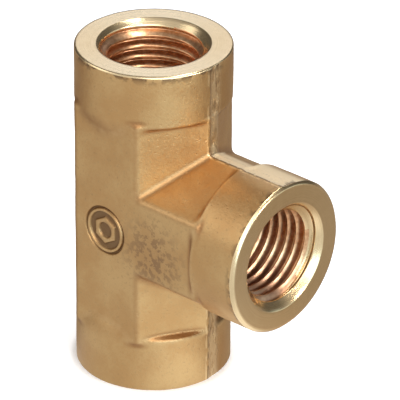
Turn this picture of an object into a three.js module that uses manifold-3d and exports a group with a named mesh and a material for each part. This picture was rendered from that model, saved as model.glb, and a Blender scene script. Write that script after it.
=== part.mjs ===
import * as THREE from "three";
import { mergeVertices, toCreasedNormals } from "three/addons/utils/BufferGeometryUtils.js";
import Module from "manifold-3d";

// Forged pipe tee with three equal 1/4-18 NPT female ports. Millimetres, +Z up along the run,
// branch along +X, round mark on the -Y flat, run standing on its lower port face.

const runLength = 44.45;
const branchReach = runLength / 2;
const runAxisX = -6.0625;
const branchAxisZ = runLength / 2;

const collarRadius = 10;
const collarLength = 7.4;
const collarSegments = 48;
const rimChamfer = 0.4;

const flatHalf = 9.1;
const cornerRadius = 1;
const cornerSteps = 3;
const partingReach = 10.1;

const threadPitch = 1.411;
const threadTaper = 1 / 32;
const threadFlat = 0.07;
const mouthPitchRadius = 12.487 / 2;
const threadEnd = 12.2;
const threadStart = 0.2;
const runOut = 1.5 * threadPitch;
const threadSegments = 28;
const threadHeight = ((0.5 - threadFlat) * threadPitch) / Math.tan(Math.PI / 6);

const mouthRadius = 7.2;
const mouthDepth = 1.5;
const tapDrillRadius = 5.556;
const tapDrillDepth = 15;
const passageRadius = 4.35;

const markRadius = 3.3;
const markGroove = 0.4;
const markRing = 2.45;
const markDepth = 0.35;
const markFigure = 1.7;
const markDrop = 0.8;

const wasm = await Module();
wasm.setup();

function toSolid(geometry) {
  const bare = geometry.clone();
  bare.deleteAttribute("normal");
  bare.deleteAttribute("uv");
  const merged = mergeVertices(bare, 1e-5);
  const index = merged.index.array;
  const kept = [];
  for (let i = 0; i < index.length; i += 3) {
    const [a, b, c] = [index[i], index[i + 1], index[i + 2]];
    if (a !== b && b !== c && c !== a) {
      kept.push(a, b, c);
    }
  }
  return new wasm.Manifold(
    new wasm.Mesh({
      numProp: 3,
      vertProperties: new Float32Array(merged.attributes.position.array),
      triVerts: new Uint32Array(kept),
    }),
  );
}

function toGeometry(solid) {
  const mesh = solid.getMesh();
  const geometry = new THREE.BufferGeometry();
  geometry.setAttribute("position", new THREE.BufferAttribute(mesh.vertProperties, 3));
  geometry.setIndex(new THREE.BufferAttribute(mesh.triVerts, 1));
  return toCreasedNormals(geometry, 0.5);
}

// A solid turned about the Z axis from [radius, z] pairs that start and end on the axis.
function turned(profile, segments) {
  const points = profile.map(([radius, z]) => new THREE.Vector2(radius, z));
  const geometry = new THREE.LatheGeometry(points, segments);
  geometry.rotateX(Math.PI / 2);
  return toSolid(geometry);
}

function cylinder(radius, from, to, segments) {
  return turned(
    [
      [0, from],
      [radius, from],
      [radius, to],
      [0, to],
    ],
    segments,
  );
}

// Regular hexagon across the parting plane: corners on X trimmed flat, the other four rounded.
function hexagonShape() {
  const reach = flatHalf / Math.cos(Math.PI / 6);
  const centre = (flatHalf - cornerRadius) / Math.cos(Math.PI / 6);
  const band = (reach - partingReach) * Math.tan(Math.PI / 3);
  const shape = new THREE.Shape();
  shape.moveTo(partingReach, -band);
  for (const corner of [0, 1, 2, 3, 4, 5]) {
    const angle = (corner * Math.PI) / 3;
    if (corner % 3 === 0) {
      const side = Math.cos(angle);
      shape.lineTo(side * partingReach, -side * band);
      shape.lineTo(side * partingReach, side * band);
      continue;
    }
    for (let step = 0; step <= cornerSteps; step += 1) {
      const turn = angle - Math.PI / 6 + (step * Math.PI) / 3 / cornerSteps;
      shape.lineTo(
        centre * Math.cos(angle) + cornerRadius * Math.cos(turn),
        centre * Math.sin(angle) + cornerRadius * Math.sin(turn),
      );
    }
  }
  shape.closePath();
  return shape;
}

function hexagonBar(from, to) {
  const geometry = new THREE.ExtrudeGeometry(hexagonShape(), {
    depth: to - from,
    bevelEnabled: false,
  });
  geometry.translate(0, 0, from);
  return toSolid(geometry);
}

// Round collar with its port face at z = 0 and its shoulder below.
function collar() {
  const step = collarRadius - flatHalf;
  return turned(
    [
      [0, -collarLength - step / 2],
      [flatHalf, -collarLength - step / 2],
      [collarRadius, -collarLength + step / 2],
      [collarRadius, -rimChamfer],
      [collarRadius - rimChamfer, 0],
      [0, 0],
    ],
    collarSegments,
  );
}

// Radius of one corner of the thread form at height z: groove floor or crest, tapered, run out.
function threadRadius(corner, z) {
  const half = corner < 2 ? threadHeight / 2 : -threadHeight / 2;
  const full = mouthPitchRadius + threadTaper * z + half;
  const fade = Math.min(1, Math.max(0, (z + threadEnd) / runOut));
  return tapDrillRadius + Math.max(0, full - tapDrillRadius) * fade;
}

// Four corners of the form follow a right-hand helix; both ends are held level and capped.
function threadPoint(corner, turn) {
  const offset = [0, threadFlat, 0.5, 0.5 + threadFlat][corner];
  const rise = threadPitch * (turn / threadSegments + offset);
  const z = Math.min(-threadStart, rise - threadEnd - threadPitch);
  const angle = (2 * Math.PI * (turn % threadSegments)) / threadSegments;
  if (z <= -threadEnd) {
    return [angle, tapDrillRadius, -threadEnd];
  }
  return [angle, z < -threadStart ? threadRadius(corner, z) : mouthPitchRadius, z];
}

function threadCutter() {
  const turns = Math.ceil((threadEnd - threadStart) / threadPitch) + 2;
  const last = turns * threadSegments;
  const positions = [];
  const put = ([angle, radius, z]) =>
    positions.push(radius * Math.cos(angle), radius * Math.sin(angle), z);
  const quad = (a, b, c, d) => [a, b, c, a, c, d].forEach(put);
  for (let turn = 0; turn < last; turn += 1) {
    for (const corner of [0, 1, 2, 3]) {
      const up = corner < 3 ? [corner + 1, turn] : [0, turn + threadSegments];
      quad(
        threadPoint(corner, turn),
        threadPoint(corner, turn + 1),
        threadPoint(up[0], up[1] + 1),
        threadPoint(up[0], up[1]),
      );
    }
  }
  capRing(put, mouthPitchRadius, -threadStart, 0, -threadStart, true);
  capRing(put, tapDrillRadius, -threadEnd, tapDrillRadius, -tapDrillDepth, false);
  const tip = tapDrillDepth + (tapDrillRadius - passageRadius) / Math.tan(Math.PI / 3);
  capRing(put, tapDrillRadius, -tapDrillDepth, passageRadius, -tip, false);
  capRing(put, passageRadius, -tip, 0, -tip, false);
  const geometry = new THREE.BufferGeometry();
  geometry.setAttribute("position", new THREE.Float32BufferAttribute(positions, 3));
  return toSolid(geometry);
}

// A band of triangles between two coaxial rings; facing says whether the second lies above.
function capRing(put, radiusA, zA, radiusB, zB, above) {
  for (let i = 0; i < threadSegments; i += 1) {
    const a = (2 * Math.PI * i) / threadSegments;
    const b = (2 * Math.PI * ((i + 1) % threadSegments)) / threadSegments;
    const quad = [
      [a, radiusA, zA],
      [b, radiusA, zA],
      [b, radiusB, zB],
      [a, radiusA, zA],
      [b, radiusB, zB],
      [a, radiusB, zB],
    ];
    (above ? quad : quad.reverse()).forEach(put);
  }
}

// Everything removed through one port: mouth countersink, tapered thread, tap drill, passage.
function portCutter() {
  const mouth = turned(
    [
      [0, -mouthDepth],
      [mouthRadius - mouthDepth, -mouthDepth],
      [mouthRadius + 1, 1],
      [0, 1],
    ],
    collarSegments,
  );
  const passage = cylinder(passageRadius, -branchReach - 1, -tapDrillDepth, threadSegments);
  return mouth.add(threadCutter()).add(passage);
}

// Sunk ring and disc around a raised plain hexagon, on the -Y flat just below the branch axis.
function markCutter() {
  const outer = cylinder(markRadius, -markDepth, 1, collarSegments);
  const ring = cylinder(markRadius - markGroove, -1, 2, collarSegments);
  const disc = cylinder(markRing, -markDepth, 1, collarSegments);
  const figure = cylinder(markFigure, -1, 2, 6);
  return outer.subtract(ring).add(disc.subtract(figure));
}

const toTop = (solid) => solid.translate([0, 0, runLength]);
const toBottom = (solid) => solid.rotate([180, 0, 0]);
const toBranch = (solid) => solid.rotate([0, 90, 0]).translate([branchReach, 0, branchAxisZ]);

function outside() {
  const overlap = collarLength - 1;
  const run = hexagonBar(overlap, runLength - overlap);
  const branch = toBranch(hexagonBar(-branchReach, -overlap));
  return run.add(branch).add(toTop(collar())).add(toBottom(collar())).add(toBranch(collar()));
}

function inside() {
  const port = portCutter();
  return toTop(port).add(toBottom(port)).add(toBranch(port));
}

const brass = new THREE.MeshStandardMaterial({
  name: "brass",
  color: 0xb8935c,
  metalness: 1,
  roughness: 0.4,
});

const mark = markCutter()
  .rotate([90, 0, 0])
  .translate([0, -flatHalf, branchAxisZ - markDrop]);
const fitting = outside().subtract(inside()).subtract(mark).translate([runAxisX, 0, 0]);

const part = new THREE.Group();
part.name = "pipe_tee";
const body = new THREE.Mesh(toGeometry(fitting), brass);
body.name = "tee_body";
part.add(body);

export default part;
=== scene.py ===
import math

import bpy
import numpy as np
from mathutils import Matrix, Vector


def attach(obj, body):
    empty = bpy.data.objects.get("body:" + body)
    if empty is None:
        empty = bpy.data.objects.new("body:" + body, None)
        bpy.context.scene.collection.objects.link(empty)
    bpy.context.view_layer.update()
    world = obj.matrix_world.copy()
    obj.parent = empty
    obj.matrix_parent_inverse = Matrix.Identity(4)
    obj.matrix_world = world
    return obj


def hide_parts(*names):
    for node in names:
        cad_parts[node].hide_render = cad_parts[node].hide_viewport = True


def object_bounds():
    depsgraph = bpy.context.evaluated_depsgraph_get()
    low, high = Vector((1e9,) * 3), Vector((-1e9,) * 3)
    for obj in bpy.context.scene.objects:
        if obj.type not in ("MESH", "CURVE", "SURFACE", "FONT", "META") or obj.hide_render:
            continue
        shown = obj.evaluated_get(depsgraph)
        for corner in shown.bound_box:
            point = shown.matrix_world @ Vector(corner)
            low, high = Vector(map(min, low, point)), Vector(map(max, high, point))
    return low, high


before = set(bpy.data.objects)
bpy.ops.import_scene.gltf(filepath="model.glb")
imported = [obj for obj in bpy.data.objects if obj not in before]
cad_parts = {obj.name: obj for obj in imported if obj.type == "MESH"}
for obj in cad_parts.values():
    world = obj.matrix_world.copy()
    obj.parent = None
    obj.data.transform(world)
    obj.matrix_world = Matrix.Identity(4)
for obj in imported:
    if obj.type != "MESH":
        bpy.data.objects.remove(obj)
cadLow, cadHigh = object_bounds()
print("frame loaded")

# Lengths are in millimetres. Each of the three limbs (run up, run down, branch) has its own axis h
# from the crossing of the axes, and an angle theta round it.
body = dict(
    reach=(cadHigh.z - cadLow.z) * 500,     # crossing of the axes to each port face
    collarRadius=9.995,
    collarLength=7.4,
    flatHalf=9.1,                           # crossing to the two long wrench flats
    bandHalf=10.04,                         # crossing to the trimmed parting band
    edgeRound=0.55,                         # widths over which the forging's edges are rounded
    bandRound=0.12,
    crotchRound=0.7,
    shoulderRound=0.45,
    shoulderHollow=(0.3, 0.45),             # on the tilted facets and on the long flats
    shoulderSlope=dict(up=0.0, arm=0.2, down=0.22),     # run: on the facets; branch: on its flats
    barEnd=0.7,                             # how far the hexagon bars reach into the collars
    partingLine=-0.35,                      # the rear die half is set back from this Y
    partingStep=0.13,
    stepBlend=0.16,
    lumps=0.03,
    dents=[                                 # place from the crossing, width and depth
        (10.0, 0.6, 11.3, 0.8, 0.8),
        (7.6, 6.4, 15.8, 0.5, 0.25),
        (9.9, 1.0, 17.5, 0.6, 0.2),
        (16.0, 0.9, 9.9, 0.7, 0.2),
    ],
    seed=11,
)
port = dict(
    rimRadius=dict(up=9.78, arm=9.6, down=9.9),
    rimLeast=0.08,                          # the chamfer's least width
    mouthRadius=7.2,
    pitch=1.411,
    taper=1 / 32,
    height=0.92,
    pitchRadius=12.487 / 2,
    threadTop=0.35,                         # depths below the port face
    threadEnd=12.2,
    start=dict(up=0.854, arm=0.2, down=0.5),    # where each port's thread starts, in turns
    runOut=2.2,
    paleDepth=dict(up=0, arm=1.75, down=0),     # how far in the countersink's finish reaches
    drillRadius=5.556,
    drillDepth=15.0,
    passageRadius=4.35,
    passageDepth=15.7,
)
mark = dict(
    radius=3.4,
    drop=0.8,                               # centre of the mark below the branch axis
    depth=0.36,
    columns=10,                             # half the opening's width and its height, in mesh cells
    rows=11,
)
facts = dict(
    bright=(0.67, -0.74),                   # direction of the diameter on which turned faces gleam
    bandFrom=8,                             # from a limb's axis to where its parting band starts
    bandFront=-0.55,                        # Y of the band's front edge and of its back edges
    runBack=1.75,
    armBack=5,
    runShare=0.16,                          # how bare the run's band is, and how torn the branch's
    armShare=0.25,
    groove=-0.5,                            # Y of the painted shadow line and the painted highlight line beside the band
    highlightLine=-0.83,
    cleanBelow=-15,                         # no flash on the rim below this height
)
crossing = np.array([cadHigh.x * 1000 - body["reach"], 0.0, (cadLow.z + cadHigh.z) * 500])
rng = np.random.default_rng(body["seed"])


def halfTurn():
    # Angles from the front flat (-90 degrees) to the back flat (90), closer at the hexagon's
    # corners and on either side of the parting line.
    stretches = [(-90, -66, 10), (-66, -54, 9), (-54, -7, 17), (-7, -5.8, 1), (-5.8, -1.6, 9),
                 (-1.6, 7, 3), (7, 54, 17), (54, 66, 9), (66, 90, 10)]
    steps = [np.linspace(a, b, n, endpoint=False) for a, b, n in stretches]
    return np.radians(np.concatenate(steps + [[90]]))


halfAngles = halfTurn()
half = len(halfAngles) - 1
rounds = 2 * half


def makeWaves(count, shortest, longest):
    # Plane waves in random directions with random phases, their wavelengths between the two lengths.
    direction = rng.normal(size=(count, 3))
    direction /= np.linalg.norm(direction, axis=1, keepdims=True)
    length = np.exp(rng.uniform(math.log(shortest), math.log(longest), count))
    return direction * (2 * math.pi / length)[:, None], rng.uniform(0, 2 * math.pi, count)


def waveSum(points, waves):
    # Sum of the sines of the waves at the points, scaled to about -1..1.
    vectors, phases = waves
    return np.sin(points @ vectors.T + phases).sum(-1) / (1.6 * math.sqrt(len(phases)))


lumpWaves = makeWaves(14, 5, 14)
dentWaves = makeWaves(22, 1.6, 4)


def smoothMax(a, b, width):
    # The larger of a and b, with the corner between them rounded over the width.
    gap = np.maximum(width - np.abs(a - b), 0)
    return np.maximum(a, b) + gap * gap / (4 * width)


def smoothMin(a, b, width):
    return -smoothMax(-a, -b, width)


def hexagonSides(across, depth, along):
    # Four facets tilted 30 degrees, as far from the axis as the flats, and the flat parting band of
    # one hexagon bar, cut level inside its collars.
    tilt = math.radians(30)
    facets = np.abs(across) * math.cos(tilt) + np.abs(depth) * math.sin(tilt) - body["flatHalf"]
    sides = smoothMax(facets, np.abs(across) - body["bandHalf"], body["bandRound"])
    stop = body["reach"] - body["collarLength"] + body["barEnd"]
    return smoothMax(sides, along - stop, 0.4)


def collarField(radius, along, onFlat):
    # A round collar whose shoulder is square to the axis where onFlat is 0. Where it is 1, the
    # shoulder slopes: 0.45 of the distance along plus 0.85 of the distance outwards.
    before = body["reach"] - body["collarLength"] - along
    outside = radius - body["collarRadius"]
    shoulder = before * (1 - 0.55 * onFlat) + outside * 0.85 * onFlat
    return smoothMax(outside, shoulder, body["shoulderRound"])


def forgingField(points):
    # Negative inside the forging: two crossed hexagon bars and the long flats, joined to the collars
    # with hollow shoulders, less the low lumps and dents of the skin.
    x, y, z = points[..., 0], points[..., 1], points[..., 2]
    run = hexagonSides(x, y, np.abs(z))
    arm = smoothMax(hexagonSides(z, y, x), -x, 0.2)
    sides = smoothMin(run, arm, body["crotchRound"])
    bars = smoothMax(sides, np.abs(y) - body["flatHalf"], body["edgeRound"])
    onFlat = np.clip((np.abs(y) - 7.9) / 1.1, 0, 1)
    slope = body["shoulderSlope"]
    least = np.where(z < 0, slope["down"], slope["up"])
    runCollars = collarField(np.hypot(x, y), np.abs(z), least + (1 - least) * onFlat)
    armCollar = collarField(np.hypot(z, y), x, slope["arm"] * onFlat)
    collars = np.minimum(runCollars, armCollar)
    narrow, wide = body["shoulderHollow"]
    whole = smoothMin(bars, collars, narrow + (wide - narrow) * onFlat)
    skin = waveSum(points, lumpWaves) + 0.35 * waveSum(points, dentWaves)
    behind = np.clip((y - body["partingLine"]) / body["stepBlend"], 0, 1) * np.clip((6 - y) / 4, 0, 1)
    whole = whole + body["lumps"] * np.maximum(0.9 + skin, 0) + body["partingStep"] * behind
    for *place, width, depth in body["dents"]:
        apart = ((points - place) ** 2).sum(-1)
        whole = whole + depth * np.exp(-2 * apart / width ** 2)
    return whole


def solveAlong(origin, direction, low, high):
    # Bisection on whole arrays: the distance along each ray at which the forging ends.
    near = np.full(origin.shape[:-1], float(low))
    far = np.full(origin.shape[:-1], float(high))
    for _ in range(26):
        middle = (near + far) / 2
        inside = forgingField(origin + direction * middle[..., None]) < 0
        near = np.where(inside, middle, near)
        far = np.where(inside, far, middle)
    return origin + direction * ((near + far) / 2)[..., None]


# limb name: (axis, lateral direction, third direction), all right-handed
limbs = {
    "up": np.array([[0, 0, 1], [1, 0, 0], [0, 1, 0]], float),
    "arm": np.array([[1, 0, 0], [0, 0, 1], [0, -1, 0]], float),
    "down": np.array([[0, 0, -1], [1, 0, 0], [0, -1, 0]], float),
}


class MeshParts:
    # Vertices and faces gathered as arrays, then joined.
    def __init__(self):
        self.points = []
        self.faces = []
        self.kinds = []
        self.count = 0

    def addPoints(self, points):
        first = self.count
        self.points.append(points.reshape(-1, 3))
        self.count += points.size // 3
        return first + np.arange(points.size // 3).reshape(points.shape[:-1])

    def addFaces(self, faces, kind):
        self.faces.append(faces.reshape(-1, 4))
        self.kinds.append(np.broadcast_to(kind, faces.shape[:-1]).ravel())


parts = MeshParts()
skinKind, machinedKind, threadKind = 0, 1, 2


def seamCurve(first, second, outer):
    # Where two limbs meet: from the front flat to the back flat through the plane between them.
    # first and second are the limbs' lateral directions; the point is radius * (cos, sin) in it.
    angle = halfAngles[1:-1]
    ray = np.cos(angle)[:, None] * (first + second) + np.sin(angle)[:, None] * np.array([0, 1, 0])
    if outer:
        return solveAlong(np.zeros_like(ray), ray, 4, 16)
    return ray * port["passageRadius"]


def seams(outer):
    # The two poles on the flats and the three seam curves, shared by the limbs.
    side = np.array([[0, -1.0, 0], [0, 1.0, 0]])
    if outer:
        poles = solveAlong(np.zeros((2, 3)), side, 4, 16)
    else:
        poles = side * port["passageRadius"]
    front, back = parts.addPoints(poles)
    x, z = np.array([1.0, 0, 0]), np.array([0, 0, 1.0])
    curves = {
        ("up", "arm"): seamCurve(x, z, outer),
        ("down", "arm"): seamCurve(x, -z, outer),
        ("up", "down"): seamCurve(-x, 0 * z, outer),
    }
    return {
        pair: np.concatenate([[front], parts.addPoints(curve), [back]])
        for pair, curve in curves.items()
    }


def baseRing(limb, curves):
    # Indices round a limb's root, from theta = -90 degrees, lateral side first.
    lateral = {"up": ("up", "arm"), "down": ("down", "arm"), "arm": ("up", "arm")}[limb]
    other = {"up": ("up", "down"), "down": ("up", "down"), "arm": ("down", "arm")}[limb]
    first, second = curves[lateral], curves[other]
    if limb != "up":
        first, second = first[::-1], second[::-1]
    return np.concatenate([first[:-1], second[::-1][:-1]])


def ringFaces(rows, kind, leftOut=None):
    # Quads between successive rings of one index array (rows, rounds), less those left out.
    a, b = rows[:-1], rows[1:]
    quads = np.stack([a, np.roll(a, -1, 1), np.roll(b, -1, 1), b], -1)
    parts.addFaces(quads if leftOut is None else quads[~leftOut], kind)


def limbAngles(limb):
    # One turn from -90 degrees: the lateral half, then its mirror image.
    near = halfAngles if limb == "up" else -halfAngles[::-1]
    return np.concatenate([near[:-1], (math.pi - near[::-1])[:-1]])


def toSpace(limb, height, radius, angle):
    # Height along the limb's axis, radius and angle round it, to a point.
    axis, lateral, third = limbs[limb]
    return (
        height[..., None] * axis
        + (radius * np.cos(angle))[..., None] * lateral
        + (radius * np.sin(angle))[..., None] * third
    )


def addRings(limb, rings):
    # A row of points round the limb for each (radius, height).
    angle = limbAngles(limb)
    return parts.addPoints(np.stack([toSpace(limb, height, radius, angle) for radius, height in rings]))


def outerHeights():
    # Row heights: even over the mark, then closer at the shoulder and towards the rim.
    first, pastMark = 0.42, 4.62
    shoulder = body["reach"] - body["collarLength"]
    rim = body["reach"] - 0.62
    return np.concatenate([
        np.linspace(first, pastMark, mark["rows"]),
        np.linspace(pastMark, shoulder - 1.5, 17)[1:],
        np.linspace(shoulder - 1.5, shoulder + 1.6, 19)[1:],
        np.linspace(shoulder + 1.6, rim, 9)[1:],
    ])


def markColumns(limb):
    # First and last column of the opening for the mark, round the pole on the front flat.
    middle = 0 if limb == "up" else half
    return middle - mark["columns"], middle + mark["columns"]


def outerRows(limb, ring):
    # Rays from the limb's axis to the skin. Lower rows lean from the seam to level rings.
    axis, lateral, third = limbs[limb]
    angle = limbAngles(limb)
    points = np.concatenate(parts.points)[ring]
    seamHeight = points @ axis
    shoulder = body["reach"] - body["collarLength"] - 1.5
    level = outerHeights()[:, None]
    height = level + seamHeight * np.maximum(1 - level / shoulder, 0)
    origin = height[..., None] * axis
    direction = np.cos(angle)[:, None] * lateral + np.sin(angle)[:, None] * third
    skin = solveAlong(origin, np.broadcast_to(direction, origin.shape), 4, 13)
    rows = parts.addPoints(skin)
    return np.concatenate([ring[None], rows]), skin[-1]


def mouthRadiusAt(depth):
    return port["mouthRadius"] - depth


def rimRows(limb, lastRing):
    # Turned rim: a chamfer that eats into the uneven skin, the flat port face, and the countersink.
    # flat is a level ring of zeros, added to make each single number a ring.
    lateral, third = limbs[limb][1:]
    radius = np.hypot(lastRing @ lateral, lastRing @ third)
    reach = body["reach"]
    rim = np.minimum(port["rimRadius"][limb], radius - port["rimLeast"])
    depth = radius - rim
    flat = np.zeros_like(radius)
    chamfer = [
        (radius, reach - depth - 0.05),
        (radius - 0.02, reach - depth + 0.02),
        (rim + 0.04, reach - 0.04 + flat),
        (rim - 0.03, reach + flat),
    ]
    face = [(r, reach + flat) for r in np.linspace(rim - 0.3, 7.45 + flat, 5)]
    throat = port["threadTop"]
    mouth = [
        (port["mouthRadius"] + 0.06 + flat, reach + flat),
        (port["mouthRadius"] - 0.03 + flat, reach - 0.04 + flat),
        (port["mouthRadius"] - throat + flat, reach - throat + flat),
    ]
    return addRings(limb, chamfer), addRings(limb, face), addRings(limb, mouth)


def threadRadius(share, depth):
    # share is 0 on the groove's floor and 1 on the crest. The form tapers, is cut by the tap drill,
    # and fades into the drilled hole where the tap's lead ran out.
    full = port["pitchRadius"] - port["taper"] * depth + port["height"] * (0.5 - share)
    fade = np.clip((port["threadEnd"] - depth) / port["runOut"], 0, 1)
    return port["drillRadius"] + np.maximum(full - port["drillRadius"], 0) * fade


def threadSurface(limb, topRing, bottomRing):
    # A strip that winds down the hole. Along it runs the turn angle, across it the thread form, and
    # its last edge meets its first edge one turn on. Ends held to the level rings above and below.
    across = np.array([-0.045, 0.045, 0.085, 0.25, 0.415, 0.455, 0.545, 0.585, 0.75, 0.915])
    share = np.array([0, 0, 0.06, 0.5, 0.94, 1, 1, 0.94, 0.5, 0.06])
    turns = math.ceil((port["threadEnd"] - port["threadTop"]) / port["pitch"]) + 3
    step = np.arange(turns * rounds + 1)
    turned = step // rounds + (limbAngles(limb)[step % rounds] + math.pi / 2) / (2 * math.pi)
    rise = port["pitch"] * (turned[:, None] + across)
    depth = port["threadEnd"] + port["pitch"] * (1 + port["start"][limb]) - rise
    angle = limbAngles(limb)[step % rounds][:, None] + 0 * depth
    cut, cone = threadRadius(share, depth), mouthRadiusAt(depth)
    points = toSpace(limb, body["reach"] - depth, smoothMax(cut, cone, 0.06), angle)
    own = parts.addPoints(points)
    ids = np.where(depth <= port["threadTop"] + 0.02, topRing[step % rounds][:, None], own)
    ids = np.where(depth >= port["threadEnd"] - 0.02, bottomRing[step % rounds][:, None], ids)
    beyond = np.concatenate([ids[rounds:, :1], np.repeat(topRing[:1], rounds)[:, None]])
    beyond[-rounds:, 0] = topRing[step[-rounds:] % rounds]
    strip = np.concatenate([ids, beyond], 1)
    a, b = strip[:-1], strip[1:]
    kinds = np.where((cone > cut) | (depth < port["paleDepth"][limb]), machinedKind, threadKind)[:-1]
    parts.addFaces(np.stack([b[:, :-1], a[:, :-1], a[:, 1:], b[:, 1:]], -1), kinds)


def boreRows(limb, bottomRing, ring):
    # Below the thread: drilled hole, the drill's cone, and the passage down to the inner seams.
    points = np.concatenate(parts.points)[ring]
    seamHeight = points @ limbs[limb][0]
    flat = np.zeros(rounds)
    reach = body["reach"]
    top = reach - port["passageDepth"]
    rings = [
        (port["drillRadius"] + flat, reach - port["drillDepth"] + 0.1 + flat),
        (port["drillRadius"] - 0.06 + flat, reach - port["drillDepth"] - 0.03 + flat),
        (port["passageRadius"] + 0.08 + flat, top + 0.06 + flat),
        (port["passageRadius"] + flat, top - 0.05 + flat),
        (port["passageRadius"] + flat, (top + seamHeight) / 2),
    ]
    return np.concatenate([bottomRing[None], addRings(limb, rings), ring[None]])


def markEdge(limb, rows):
    # The opening's edge through one limb: up its first column, across, and down its last.
    first, last = markColumns(limb)
    top = mark["rows"]
    return [
        rows[:top, first],
        rows[top, np.arange(first, last) % rounds],
        rows[top:0:-1, last % rounds],
    ]


def markRings():
    # (radius, depth below the flat, share of a hexagon's outline) from the flat to the centre:
    # sunk groove, raised ring, sunk disc, raised plain hexagon with a round hole.
    floor, lip = mark["depth"], 0.05
    return [
        (3.62, 0, 0), (3.46, 0, 0), (3.38, 0.01, 0), (3.31, 0.06, 0), (3.24, floor - 0.05, 0),
        (3.17, floor, 0), (3.08, floor, 0), (3.02, floor - 0.06, 0), (2.94, 0.02, 0),
        (2.87, -lip, 0), (2.68, -lip, 0), (2.6, 0.02, 0), (2.52, floor - 0.06, 0), (2.45, floor, 0),
        (2.2, floor, 0.4), (1.96, floor, 1), (1.9, floor - 0.05, 1), (1.8, 0.04, 1),
        (1.72, 0, 1), (1.45, 0, 0.8), (1.18, 0, 0), (1.1, 0.05, 0), (1.02, floor - 0.06, 0),
        (0.94, floor, 0), (0.5, floor, 0),
    ]


def fillMark(edge):
    # Rings of points, as many as the opening's edge has, drawn in from that edge to the centre.
    points = np.concatenate(parts.points)[edge]
    centre = np.array([0, 0, -mark["drop"]])
    angle = np.arctan2(points[:, 2] - centre[2], points[:, 0])
    sector = (angle + math.pi / 6) % (math.pi / 3) - math.pi / 6
    outline = math.cos(math.pi / 6) / np.cos(sector)
    spokes = np.stack([np.cos(angle), 0 * angle, np.sin(angle)], -1)
    flat = points * [1, 0, 1]
    rim = centre + markRings()[0][0] * spokes
    rings = [(flat + (rim - flat) * share, 0) for share in (0.35, 0.7)]
    for radius, depth, hexagon in markRings():
        rings.append((centre + (radius * (1 + (outline - 1) * hexagon))[:, None] * spokes, depth))
    inward = np.broadcast_to([0.0, -1, 0], points.shape)
    rows = [edge]
    for place, depth in rings:
        skin = solveAlong(place, inward, 4, 13)
        rows.append(parts.addPoints(skin + [0, depth, 0]))
    middle = parts.addPoints(np.array([[0, skin[0, 1] + mark["depth"], centre[2]]]))
    rows.append(np.repeat(middle, len(edge)))
    a, b = np.stack(rows[:-1]), np.stack(rows[1:])
    parts.addFaces(np.stack([a, b, np.roll(b, -1, 1), np.roll(a, -1, 1)], -1), skinKind)


def buildFitting():
    outer, inner = seams(True), seams(False)
    edge = []
    for limb in limbs:
        skinRows, lastRing = outerRows(limb, baseRing(limb, outer))
        chamfer, face, mouth = rimRows(limb, lastRing)
        first, last = markColumns(limb)
        leftOut = np.zeros((len(skinRows) - 1, rounds), bool)
        leftOut[:mark["rows"], np.arange(first, last) % rounds] = True
        edge += markEdge(limb, skinRows)
        ringFaces(skinRows, skinKind, leftOut)
        ringFaces(np.stack([skinRows[-1], chamfer[0]]), skinKind)
        ringFaces(chamfer, skinKind if limb == "down" else machinedKind)
        ringFaces(np.concatenate([chamfer[-1:], face, mouth]), machinedKind)
        bottom = np.full(rounds, body["reach"] - port["threadEnd"])
        bottomRing = addRings(limb, [(port["drillRadius"] + 0 * bottom, bottom)])[0]
        threadSurface(limb, mouth[-1], bottomRing)
        ringFaces(boreRows(limb, bottomRing, baseRing(limb, inner)), threadKind)
    fillMark(np.concatenate(edge))


def surfaceFacts(points):
    # For each point: how much it is an outer edge and how much a hollow (for painted shade), from the
    # forging's field a short way in and out along its slope; its radius from the axis that its face was
    # turned on and how near it is to that face's bright diameter; how deep in the mark; how near a
    # port's rim; and where it lies on the trimmed parting band and on the painted shadow line and the
    # painted highlight line beside it.
    small, reach = 0.01, 0.5
    slope = np.stack([
        forgingField(points + small * step) - forgingField(points - small * step)
        for step in np.eye(3)
    ], -1)
    slope /= np.linalg.norm(slope, axis=1, keepdims=True)
    edge = np.clip((forgingField(points - reach * slope) + reach) / (0.22 * reach), 0, 1)
    hollow = np.clip((reach - forgingField(points + reach * slope)) / (0.3 * reach), 0, 1)
    x, y, z = points.T
    fromMark = np.hypot(x, z + mark["drop"])
    onMark = (fromMark < mark["radius"]) & (y < -7)
    sunk = np.clip((y + body["flatHalf"]) / mark["depth"], 0, 1)
    raised = (fromMark < 3) & (y < -body["flatHalf"] + 0.06)
    onArm = x > np.abs(z)
    turning = np.where(onArm, np.hypot(z, y), np.hypot(x, y))
    bright = facts["bright"][0] * np.where(onArm, 0, x) + facts["bright"][1] * y
    along = np.where(onArm, x, np.abs(z))
    rim = np.clip(1.3 - (body["reach"] - along - 0.2) / 0.5, 0, 1)
    onBand = np.where(onArm, np.abs(z), np.abs(x)) > facts["bandFrom"]
    behind = onBand * np.clip((y - facts["bandFront"]) / 0.1, 0, 1)
    onRun = np.clip((facts["runBack"] - y) / 0.3, 0, 1)
    onBranch = np.clip((facts["armBack"] - y) / 2, 0, 1)
    return dict(
        edgeWear=np.where(onMark, raised, edge),
        # hollows, which get painted shade
        hollow=np.where(onMark, 0, hollow),
        turning=turning / 1000,
        gleam=(bright / turning) ** 2,
        sunk=np.where(onMark, sunk, 0),
        rimFlash=rim * (z > facts["cleanBelow"]),
        trimmed=behind * np.where(onArm, onBranch, facts["runShare"] * onRun),
        ragged=behind * onRun * np.where(onArm, facts["armShare"], 1),
        # painted shadow line and painted highlight line beside the parting band
        seamShadow=onBand * np.clip(1.4 - np.abs(y - facts["groove"]) / 0.11, 0, 1),
        seamHighlight=onBand * np.clip(1.4 - np.abs(y - facts["highlightLine"]) / 0.13, 0, 1),
    )


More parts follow.
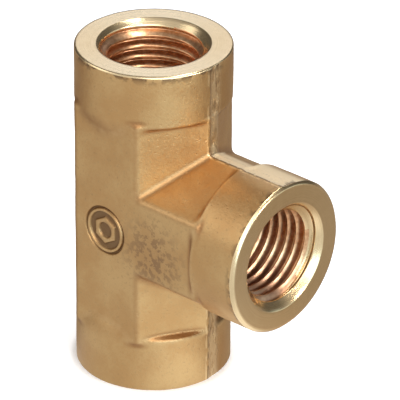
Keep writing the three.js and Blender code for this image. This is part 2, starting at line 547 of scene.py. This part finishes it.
def toObject(name):
    # Joins the gathered arrays, merges repeated corners of a quad and drops unused points.
    points = np.concatenate(parts.points)
    faces = np.concatenate(parts.faces)
    kinds = np.concatenate(parts.kinds)
    same = faces == np.roll(faces, -1, 1)
    keep = same.sum(1) <= 1
    faces, kinds, same = faces[keep], kinds[keep], same[keep]
    keep = (faces[:, 0] != faces[:, 2]) & (faces[:, 1] != faces[:, 3])
    faces, kinds, same = faces[keep], kinds[keep], same[keep]
    used, corners = np.unique(faces[~same], return_inverse=True)
    sizes = 4 - same.sum(1)
    starts = np.concatenate([[0], np.cumsum(sizes)[:-1]])
    places = (points[used] + crossing) / 1000
    mesh = bpy.data.meshes.new(name)
    mesh.vertices.add(len(used))
    mesh.vertices.foreach_set("co", places.astype(np.float32).ravel())
    mesh.loops.add(len(corners))
    mesh.loops.foreach_set("vertex_index", corners.astype(np.int32).ravel())
    mesh.polygons.add(len(sizes))
    mesh.polygons.foreach_set("loop_start", starts.astype(np.int32))
    mesh.polygons.foreach_set("material_index", kinds.astype(np.int32))
    for fact, values in surfaceFacts(points[used]).items():
        layer = mesh.attributes.new(fact, "FLOAT", "POINT")
        layer.data.foreach_set("value", values.astype(np.float32))
    mesh.update(calc_edges=True)
    mesh.validate(verbose=True)
    mesh.shade_smooth()
    thing = bpy.data.objects.new(name, mesh)
    bpy.context.collection.objects.link(thing)
    return thing


buildFitting()
fitting = toObject("tee_fitting")
print("fitting built:", len(fitting.data.vertices), "points")

skinLook = dict(
    light=(0.65, 0.42, 0.19),
    deep=(0.57, 0.335, 0.14),
    sand=(0.44, 0.27, 0.12),
    stain=(0.35, 0.205, 0.10),
    stainPlace=(8.2, -9.0, -1.7),           # millimetres from the crossing; its radii are in metres
    stainReach=(0.001, 0.0075),
    # pale wear on the edges, and the painted highlight line beside the parting band
    wearAndHighlight=(0.86, 0.62, 0.33),
    # painted shade in the hollows
    hollowShade=(0.34, 0.155, 0.06),
    # dark flecks on the rims, the mark's sunk parts, and the painted shadow line beside the parting
    # band
    grimeAndShadow=(0.17, 0.095, 0.05),
    torn=(0.80, 0.60, 0.35),
    # pale cut finish of the trimmed band, made paler still as a painted reflection
    cut=(0.96, 0.80, 0.55),
    roughness=0.44,
)
turnedLook = dict(
    light=(0.82, 0.61, 0.34),
    dark=(0.74, 0.53, 0.28),
    gleam=(0.98, 0.80, 0.52),
    roughness=0.26,
)
threadLook = dict(
    # colours painted redder than the skin for the thread's reflection of itself
    light=(0.83, 0.51, 0.28),
    dark=(0.64, 0.33, 0.17),
    # darker patch low in the branch's thread
    lowPatch=(0.30, 0.16, 0.10),
    lowPatchPlace=(17.5, 1.0, -7.6),
    lowPatchReach=(0.003, 0.0062),
    roughness=0.29,
)


class Graph:
    # Short calls for placing and joining nodes.
    def __init__(self, tree):
        self.tree = tree

    def node(self, kind, values=None, **settings):
        made = self.tree.nodes.new(kind)
        for key, value in settings.items():
            setattr(made, key, value)
        for key, value in (values or {}).items():
            if isinstance(value, bpy.types.NodeSocket):
                self.tree.links.new(value, made.inputs[key])
            else:
                made.inputs[key].default_value = value
        return made

    def math(self, operation, a, b):
        return self.node("ShaderNodeMath", {0: a, 1: b}, operation=operation).outputs[0]

    def ramp(self, value, low, high, toLow=0.0, toHigh=1.0):
        ranged = {"Value": value, 1: low, 2: high, 3: toLow, 4: toHigh}
        return self.node("ShaderNodeMapRange", ranged, interpolation_type="SMOOTHSTEP").outputs[0]

    def mix(self, share, a, b):
        made = self.node("ShaderNodeMix", data_type="RGBA")
        for index, value in ((0, share), (6, a), (7, b)):
            if isinstance(value, bpy.types.NodeSocket):
                self.tree.links.new(value, made.inputs[index])
            else:
                made.inputs[index].default_value = value if index == 0 else (*value, 1)
        return made.outputs[2]

    def vector(self, operation, a, b, output=0):
        return self.node("ShaderNodeVectorMath", {0: a, 1: b}, operation=operation).outputs[output]

    def noise(self, place, scale, detail=2.0, roughness=0.5):
        values = {"Vector": place, "Scale": scale, "Detail": detail, "Roughness": roughness}
        return self.node("ShaderNodeTexNoise", values).outputs["Fac"]


def newGroup(name, inputs, outputs):
    tree = bpy.data.node_groups.new(name, "ShaderNodeTree")
    for label, kind in inputs:
        tree.interface.new_socket(name=label, in_out="INPUT", socket_type=kind)
    for label, kind in outputs:
        tree.interface.new_socket(name=label, in_out="OUTPUT", socket_type=kind)
    graph = Graph(tree)
    return graph, graph.node("NodeGroupInput").outputs, graph.node("NodeGroupOutput").inputs


def metalGrain():
    # Fine speckle, pits and slow blotches, each 0..1, and the height of all of them together.
    graph, given, out = newGroup(
        "metalGrain",
        [("Vector", "NodeSocketVector"), ("Grain Size", "NodeSocketFloat")],
        [("Speckle", "NodeSocketFloat"), ("Pits", "NodeSocketFloat"),
         ("Blotch", "NodeSocketFloat"), ("Height", "NodeSocketFloat")],
    )
    fine = graph.math("DIVIDE", 1.0, given["Grain Size"])
    speckle = graph.noise(given["Vector"], fine, 3.0, 0.65)
    pits = graph.ramp(graph.noise(given["Vector"], graph.math("MULTIPLY", fine, 0.8), 2.0), 0.64, 0.74)
    blotch = graph.noise(given["Vector"], graph.math("MULTIPLY", fine, 0.05), 4.0, 0.6)
    height = graph.math("SUBTRACT", speckle, graph.math("MULTIPLY", pits, 0.6))
    for label, value in (("Speckle", speckle), ("Pits", pits), ("Blotch", blotch), ("Height", height)):
        graph.tree.links.new(value, out[label])
    return graph.tree


grainGroup = metalGrain()


def brassMaterial(name, roughness):
    material = bpy.data.materials.new(name)
    material.use_nodes = True
    graph = Graph(material.node_tree)
    shader = material.node_tree.nodes["Principled BSDF"]
    shader.inputs["Metallic"].default_value = 1
    shader.inputs["Roughness"].default_value = roughness
    place = graph.node("ShaderNodeTexCoord").outputs["Object"]
    return material, graph, shader, place


def fact(graph, name):
    return graph.node("ShaderNodeAttribute", attribute_name=name).outputs["Fac"]


def grain(graph, place, size):
    made = graph.node("ShaderNodeGroup", node_tree=grainGroup)
    graph.tree.links.new(place, made.inputs["Vector"])
    made.inputs["Grain Size"].default_value = size
    return made.outputs


def around(graph, place, centre, near, far):
    # 1 at the centre, fading to 0 between the two distances, in metres.
    return graph.ramp(graph.vector("DISTANCE", place, centre, "Value"), near, far, 1.0, 0.0)


def fromCrossing(place):
    # A place given in millimetres from the crossing, in metres from the origin.
    return tuple((crossing + place) / 1000)


def addBump(graph, shader, height, strength, distance):
    bump = graph.node("ShaderNodeBump", {"Strength": strength, "Distance": distance, "Height": height})
    graph.tree.links.new(bump.outputs[0], shader.inputs["Normal"])


def stretched(graph, place, scale):
    # Noise about half a millimetre across, drawn out along the directions with a small scale.
    return graph.noise(graph.vector("MULTIPLY", place, scale), 1800, 3.0, 0.6)


def forgedSkin():
    # Satin forged brass in two tones, under thin layers: sand and pits, a brown stain, pale edges,
    # painted shade in the hollows, the trimmed parting band (paler, partly as a painted reflection)
    # with a painted shadow line and a painted highlight line beside it, dark flecks on the rims, and
    # the mark darker the deeper it is sunk.
    material, graph, shader, place = brassMaterial("forgedSkin", skinLook["roughness"])
    fine = grain(graph, place, 0.0004)
    coarse = grain(graph, place, 0.0013)
    blots = graph.ramp(grain(graph, place, 0.0008)["Speckle"], 0.46, 0.57, 0.2, 0.95)
    stained = around(graph, place, fromCrossing(skinLook["stainPlace"]), *skinLook["stainReach"])
    patchy = graph.ramp(coarse["Speckle"], 0.35, 0.65, 0.02, 0.22)
    shreds = stretched(graph, place, (1, 1, 0.35))
    broken = graph.ramp(shreds, 0.40, 0.50)
    trimmed, ragged = fact(graph, "trimmed"), fact(graph, "ragged")
    torn = graph.math("MULTIPLY", ragged, graph.ramp(shreds, 0.42, 0.56))
    flecked = graph.ramp(coarse["Speckle"], 0.47, 0.55)
    layers = [
        (graph.ramp(fine["Speckle"], 0.56, 0.66), 0.35, "sand"),
        (graph.math("MULTIPLY", stained, blots), 1.0, "stain"),
        (fine["Pits"], 0.22, "stain"),
        (graph.math("MULTIPLY", fact(graph, "edgeWear"), patchy), 1.0, "wearAndHighlight"),
        # painted shade in the hollows
        (fact(graph, "hollow"), 0.7, "hollowShade"),
        # trimmed band: its own cut finish, made paler as a painted reflection
        (trimmed, 0.9, "cut"),
        (torn, 0.5, "torn"),
        (graph.math("MULTIPLY", ragged, graph.ramp(shreds, 0.42, 0.34)), 0.75, "stain"),
        # painted highlight line and painted shadow line beside the parting step
        (graph.math("MULTIPLY", fact(graph, "seamHighlight"), broken), 0.8, "wearAndHighlight"),
        (graph.math("MULTIPLY", fact(graph, "seamShadow"), broken), 0.8, "grimeAndShadow"),
        (graph.math("MULTIPLY", fact(graph, "rimFlash"), flecked), 0.95, "grimeAndShadow"),
        # the mark darker the deeper it is sunk
        (fact(graph, "sunk"), 0.8, "grimeAndShadow"),
    ]
    share = graph.math("ADD", fine["Blotch"], graph.math("MULTIPLY", fine["Speckle"], 0.5))
    tone = graph.mix(graph.ramp(share, 0.6, 0.92), skinLook["deep"], skinLook["light"])
    for share, strength, colour in layers:
        tone = graph.mix(graph.math("MULTIPLY", share, strength), tone, skinLook[colour])
    graph.tree.links.new(tone, shader.inputs["Base Color"])
    satin = skinLook["roughness"]
    satin = graph.ramp(fine["Speckle"], 0.3, 0.7, satin - 0.03, satin + 0.05)
    satin = graph.math("ADD", satin, graph.math("MULTIPLY", trimmed, 0.2))
    graph.tree.links.new(satin, shader.inputs["Roughness"])
    height = graph.math("ADD", fine["Height"], graph.math("MULTIPLY", coarse["Height"], 0.6))
    height = graph.math("ADD", height, graph.math("MULTIPLY", torn, 1.5))
    addBump(graph, shader, height, 0.6, 0.00006)
    return material


def turnedFace():
    # Machined brass: concentric tool marks, a faint change of tone and a gleam along one diameter.
    material, graph, shader, place = brassMaterial("turnedFace", turnedLook["roughness"])
    lines = {"W": graph.math("MULTIPLY", fact(graph, "turning"), 9000), "Scale": 1.0, "Detail": 3.0}
    rings = graph.node("ShaderNodeTexNoise", lines, noise_dimensions="1D").outputs["Fac"]
    fine = grain(graph, place, 0.0008)
    share = graph.math("MULTIPLY", fine["Speckle"], 0.4)
    share = graph.math("ADD", graph.math("MULTIPLY", rings, 0.6), share)
    tone = graph.mix(graph.ramp(share, 0.3, 0.7), turnedLook["dark"], turnedLook["light"])
    tone = graph.mix(graph.math("MULTIPLY", fact(graph, "gleam"), 0.5), tone, turnedLook["gleam"])
    graph.tree.links.new(tone, shader.inputs["Base Color"])
    height = graph.math("ADD", rings, graph.math("MULTIPLY", fine["Height"], 0.3))
    addBump(graph, shader, height, 0.35, 0.00003)
    return material


def cutThread():
    # Tapped brass, its colour painted redder for the way it mirrors itself, with slight tearing
    # along the cut and a darker patch in the lowest part of the branch's thread.
    material, graph, shader, place = brassMaterial("cutThread", threadLook["roughness"])
    fine = grain(graph, place, 0.0006)
    tone = graph.mix(graph.ramp(fine["Speckle"], 0.35, 0.65), threadLook["dark"], threadLook["light"])
    # darker patch in the lowest part of the branch's thread
    inLowPatch = around(graph, place, fromCrossing(threadLook["lowPatchPlace"]), *threadLook["lowPatchReach"])
    tone = graph.mix(graph.math("MULTIPLY", inLowPatch, 0.8), tone, threadLook["lowPatch"])
    graph.tree.links.new(tone, shader.inputs["Base Color"])
    addBump(graph, shader, fine["Height"], 0.4, 0.00004)
    return material


for material in (forgedSkin(), turnedFace(), cutThread()):
    fitting.data.materials.append(material)
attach(fitting, "root")
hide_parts("tee_body")
print("finishes made")

studio = dict(
    azimuth=42.0,
    elevation=28.15,
    roll=0.41,
    distance=0.5,
    lens=354.6,
    aside=0.00588,                          # the camera stands this far right of the crossing
    below=0.00002,                          # and this far below it
    brightSide=(0.55, -0.83, 0.0),          # where the room is brightest
    darkSide=(-0.34, 0.94, 0.0),            # where the floor is darkest
    floorDark=(0.34, 0.29, 0.24),
    floorBright=(0.715, 0.73, 0.74),
    floorGlare=0.65,                        # more light on the floor close to the base
    glareCentre=(0.026, 0.002),
    glareReach=(0.008, 0.030),
    floorFade=(0.1, 0.6, 0.45),             # from and to this far away the floor dims to this
    contactReach=(0.0101, 0.0111),          # soft shadow round the foot
    contactShade=0.3,
    roomDark=0.10,
    roomBright=0.75,
)
# name: (direction from the fitting, distance, width, height, radiance, colour)
softboxes = {
    "key": ((0.80, -0.60, 0.75), 0.7, 0.5, 0.5, 2.6, (1.0, 0.97, 0.93)),
    "sky": ((-0.55, 0.75, 0.62), 0.8, 0.55, 0.4, 1.15, (0.93, 1.0, 1.17)),
    "overhead": ((0.19, 0.28, 0.94), 0.5, 0.35, 0.055, 14.0, (1, 1, 1)),
    "kicker": ((0.88, 0.17, 0.44), 0.5, 0.10, 0.10, 20.0, (1, 1, 1)),
    "fill": ((-0.62, -0.56, 0.55), 0.9, 0.5, 0.5, 1.4, (1, 1, 1)),
    "rear": ((0.72, 0.68, 0.12), 0.6, 0.35, 0.2, 0.9, (0.75, 1.0, 1.2)),
    "low": ((0.93, -0.30, 0.12), 0.5, 0.3, 0.25, 3.0, (0.62, 1.0, 1.3)),
}


def towards(graph, vector, direction, near, far):
    # 0 where the vector points away from the direction, 1 where it points along it.
    return graph.ramp(graph.vector("DOT_PRODUCT", vector, direction, "Value"), near, far)


def grey(level):
    return (level, level, level)


def makeFloor():
    # Plain white to the eye, with a painted soft shadow round the foot. The fitting mirrors its painted
    # glow: brighter on one side, as a lit sweep would be, and brighter close to the base.
    mesh = bpy.data.meshes.new("floor")
    mesh.from_pydata([(-3, -3, 0), (3, -3, 0), (3, 3, 0), (-3, 3, 0)], [], [(0, 1, 2, 3)])
    floor = bpy.data.objects.new("floor", mesh)
    bpy.context.collection.objects.link(floor)
    paint = bpy.data.materials.new("floorPaint")
    paint.use_nodes = True
    graph = Graph(paint.node_tree)
    shader = paint.node_tree.nodes["Principled BSDF"]
    shader.inputs["Roughness"].default_value = 0.9
    place = graph.node("ShaderNodeTexCoord").outputs["Object"]
    foot = (crossing[0] / 1000, 0, 0)
    away = graph.vector("SUBTRACT", place, foot)
    bearing = graph.node("ShaderNodeVectorMath", {0: away}, operation="NORMALIZE").outputs[0]
    behind = towards(graph, bearing, studio["darkSide"], -0.5, 0.0)
    mirrored = graph.mix(behind, studio["floorBright"], studio["floorDark"])
    beside = (foot[0] + studio["glareCentre"][0], studio["glareCentre"][1], 0)
    glare = around(graph, place, beside, *studio["glareReach"])
    glare = graph.math("MULTIPLY", glare, studio["floorGlare"])
    strength = graph.math("ADD", glare, 1.0)
    seen = graph.node("ShaderNodeLightPath").outputs["Is Camera Ray"]
    graph.tree.links.new(graph.mix(seen, grey(0), grey(0.95)), shader.inputs["Base Color"])
    graph.tree.links.new(graph.mix(seen, mirrored, grey(1)), shader.inputs["Emission Color"])
    near, far, dim = studio["floorFade"]
    white = graph.ramp(around(graph, place, foot, near, far), 0, 1, 1.0, dim)
    contact = around(graph, place, foot, *studio["contactReach"])
    white = graph.math("SUBTRACT", white, graph.math("MULTIPLY", contact, studio["contactShade"]))
    glow = graph.node("ShaderNodeMix", {0: seen, 2: strength, 3: white})
    graph.tree.links.new(glow.outputs[0], shader.inputs["Emission Strength"])
    mesh.materials.append(paint)


def makeRoom():
    # The room is white to the eye; the fitting mirrors it brighter on one side.
    world = bpy.data.worlds.new("studio")
    bpy.context.scene.world = world
    world.use_nodes = True
    graph = Graph(world.node_tree)
    sky = world.node_tree.nodes["Background"]
    ahead = graph.node("ShaderNodeTexCoord").outputs["Generated"]
    share = towards(graph, ahead, studio["brightSide"], -0.5, 0.8)
    mirrored = graph.mix(share, grey(studio["roomDark"]), grey(studio["roomBright"]))
    seen = graph.node("ShaderNodeLightPath").outputs["Is Camera Ray"]
    graph.tree.links.new(graph.mix(seen, mirrored, grey(1.0)), sky.inputs["Color"])


def makeSoftboxes():
    for name, (direction, distance, width, height, radiance, colour) in softboxes.items():
        light = bpy.data.lights.new(name, "AREA")
        light.shape = "RECTANGLE"
        light.size, light.size_y = width, height
        light.energy = radiance * math.pi * width * height
        light.color = colour
        thing = bpy.data.objects.new(name, light)
        bpy.context.collection.objects.link(thing)
        away = Vector(direction).normalized()
        thing.location = Vector(crossing / 1000) + away * distance
        thing.rotation_mode = "QUATERNION"
        thing.rotation_quaternion = away.to_track_quat("Z", "Y")


def placeCamera():
    # Looks along the line from the camera's bearing, moved sideways so the fitting sits left of centre.
    azimuth, elevation, roll = (math.radians(studio[k]) for k in ("azimuth", "elevation", "roll"))
    back = Vector((
        math.sin(azimuth) * math.cos(elevation),
        -math.cos(azimuth) * math.cos(elevation),
        math.sin(elevation),
    ))
    level = Vector((math.cos(azimuth), math.sin(azimuth), 0))
    upright = back.cross(level)
    right = math.cos(roll) * level + math.sin(roll) * upright
    top = back.cross(right)
    camera = bpy.data.objects.new("camera", bpy.data.cameras.new("camera"))
    bpy.context.collection.objects.link(camera)
    centre = Vector(crossing / 1000)
    place = centre + back * studio["distance"] + right * studio["aside"] - top * studio["below"]
    camera.matrix_world = Matrix.Translation(place) @ Matrix((right, top, back)).transposed().to_4x4()
    camera.data.sensor_width = 36
    camera.data.lens = studio["lens"]
    camera.data.clip_end = 20
    bpy.context.scene.camera = camera


makeFloor()
makeRoom()
makeSoftboxes()
placeCamera()
bpy.context.scene.view_settings.view_transform = "Standard"
print("studio made")
